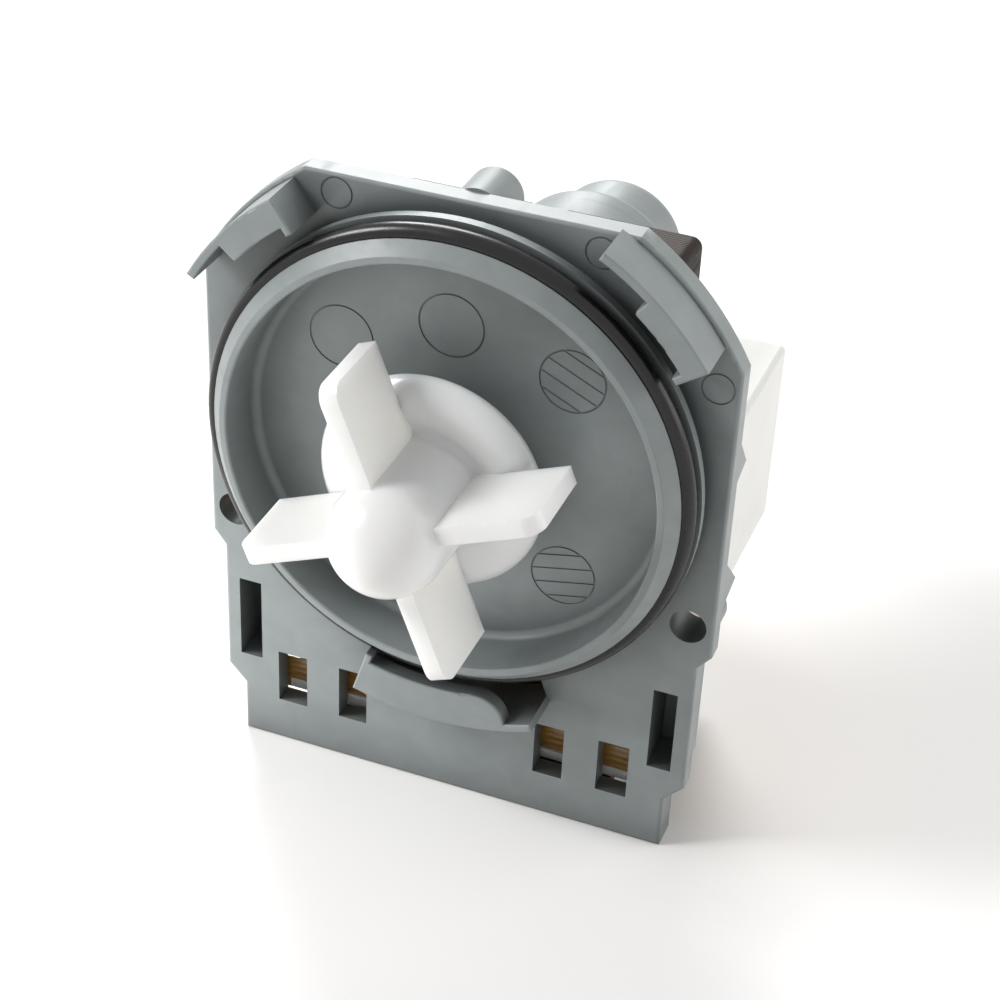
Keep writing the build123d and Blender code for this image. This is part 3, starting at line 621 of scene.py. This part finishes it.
# Strip that starts as one point, is drawn up to its height, and runs outwards while it bends forwards
def layLooseEnd(node, out):
    low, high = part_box(node)
    side = high.x if out > 0 else low.x
    corner = Vector((
        side - out * tapeSetup["inset"] * mm,
        low.y - tapeSetup["forward"] * mm,
        low.z - tapeSetup["below"] * mm,
    ))
    rise = (tapeSetup["below"] + tapeSetup["above"]) * mm
    bpy.ops.object.select_all(action="DESELECT")
    bpy.ops.mesh.primitive_plane_add(size=1 * mm, location=(0, 0, 0))
    strip = bpy.context.object
    bpy.ops.object.mode_set(mode="EDIT")
    bpy.ops.mesh.select_all(action="SELECT")
    bpy.ops.mesh.merge(type="CENTER")
    bpy.ops.transform.translate(value=corner)
    bpy.ops.mesh.extrude_region_move(TRANSFORM_OT_translate={"value": (0, 0, rise)})
    bpy.ops.mesh.select_all(action="SELECT")
    for across, forward in tapeSetup["steps"]:
        step = (out * across * mm, -forward * mm, 0)
        bpy.ops.mesh.extrude_region_move(TRANSFORM_OT_translate={"value": step})
    bpy.ops.object.mode_set(mode="OBJECT")
    thicken = strip.modifiers.new("thicken", "SOLIDIFY")
    thicken.thickness = tapeSetup["thickness"] * mm
    thicken.offset = 0
    bpy.ops.object.modifier_apply(modifier=thicken.name)
    return strip


def buildTape():
    for node, facts in tapeWraps.items():
        wrap = takeCopy(node, facts["name"])
        applyBevel(wrap, tapeSetup["edge"] * mm, 1)
        strip = layLooseEnd(node, facts["out"])
        selectOnly(wrap)
        strip.select_set(True)
        bpy.ops.object.join()
        bpy.ops.object.mode_set(mode="EDIT")
        bpy.ops.mesh.select_all(action="SELECT")
        bpy.ops.mesh.normals_make_consistent(inside=False)
        bpy.ops.object.mode_set(mode="OBJECT")
        finishPiece(wrap, node, tapeSetup["smooth"])
        print("tape laid:", facts["name"], len(wrap.data.polygons), "faces")


buildTape()

# Terminals with tapered tips and the small hole that a plug snaps into
tabSetup = {  # millimetres and degrees
    "tipLength": 1.3,
    "tipWidth": 0.72,  # share of its width that the tip keeps
    "tipThickness": 0.7,  # share of its thickness that the tip keeps
    "tipFace": 0.1,  # what lies this near the end belongs to the tip
    "edge": 0.12,
    "holeRadius": 0.85,
    "holeBack": 3.4,
    "holeSides": 32,
    "drillLength": 3,
    "smooth": 35,
}


# Narrows the end of the tab on one side of the middle, and returns its centre
def taperTip(tabs, end, middle, side):
    bpy.ops.object.mode_set(mode="EDIT")
    bpy.ops.mesh.select_all(action="DESELECT")
    bpy.ops.object.mode_set(mode="OBJECT")
    reach = end - tabSetup["tipFace"] * mm
    tips = [v for v in tabs.data.vertices if v.co.y > reach and side * (v.co.z - middle) > 0]
    centre = sum((v.co for v in tips), Vector()) / len(tips)
    for vertex in tips:
        vertex.select = True
    bpy.ops.object.mode_set(mode="EDIT")
    share = (tabSetup["tipThickness"], 1, tabSetup["tipWidth"])
    bpy.ops.transform.resize(value=share, center_override=centre)
    bpy.ops.object.mode_set(mode="OBJECT")
    return centre


def drillTab(tabs, place):
    bpy.ops.mesh.primitive_cylinder_add(
        vertices=tabSetup["holeSides"], radius=tabSetup["holeRadius"] * mm,
        depth=tabSetup["drillLength"] * mm, location=place, rotation=(0, radians(90), 0),
    )
    drill = bpy.context.object
    cut = tabs.modifiers.new("hole", "BOOLEAN")
    cut.operation = "DIFFERENCE"
    cut.object = drill
    selectOnly(tabs)
    bpy.ops.object.modifier_apply(modifier=cut.name)
    selectOnly(drill)
    bpy.ops.object.delete()


def buildTabs():
    low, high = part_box("terminal_tabs")
    middle = (low.z + high.z) / 2
    tabs = takeCopy("terminal_tabs", "bladeTabs")
    bpy.ops.object.mode_set(mode="EDIT")
    bpy.ops.mesh.select_all(action="SELECT")
    shoulder = high.y - tabSetup["tipLength"] * mm
    bpy.ops.mesh.bisect(plane_co=(0, shoulder, 0), plane_no=(0, 1, 0))
    bpy.ops.object.mode_set(mode="OBJECT")
    centres = [taperTip(tabs, high.y, middle, side) for side in (-1, 1)]
    for centre in centres:
        drillTab(tabs, (centre.x, high.y - tabSetup["holeBack"] * mm, centre.z))
    applyBevel(tabs, tabSetup["edge"] * mm, 1)
    finishPiece(tabs, "terminal_tabs", tabSetup["smooth"])
    print("terminals shaped:", len(tabs.data.polygons), "faces")


buildTabs()

# Core made of thin stamped sheets
coreSetup = {"sheets": 44, "gap": 0.04 * mm, "burr": 0.05 * mm, "burrAngle": 60, "smooth": 30}


def stackCore():
    low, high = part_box("stator_core")
    depth = high.y - low.y
    pitch = depth / coreSetup["sheets"]
    sheet = takeCopy("stator_core", "coreSheets")
    bpy.ops.object.mode_set(mode="EDIT")
    bpy.ops.mesh.select_all(action="SELECT")
    thin = (pitch - coreSetup["gap"]) / depth
    bpy.ops.transform.resize(value=(1, thin, 1), center_override=(0, low.y, 0))
    bpy.ops.object.mode_set(mode="OBJECT")
    applyBevel(sheet, coreSetup["burr"], 1, coreSetup["burrAngle"])
    stack = sheet.modifiers.new("stack", "ARRAY")
    stack.use_relative_offset = False
    stack.use_constant_offset = True
    stack.constant_offset_displace = (0, pitch, 0)
    stack.count = coreSetup["sheets"]
    bpy.ops.object.modifier_apply(modifier=stack.name)
    finishPiece(sheet, "stator_core", coreSetup["smooth"])
    print("core stacked:", len(sheet.data.polygons), "faces")


stackCore()
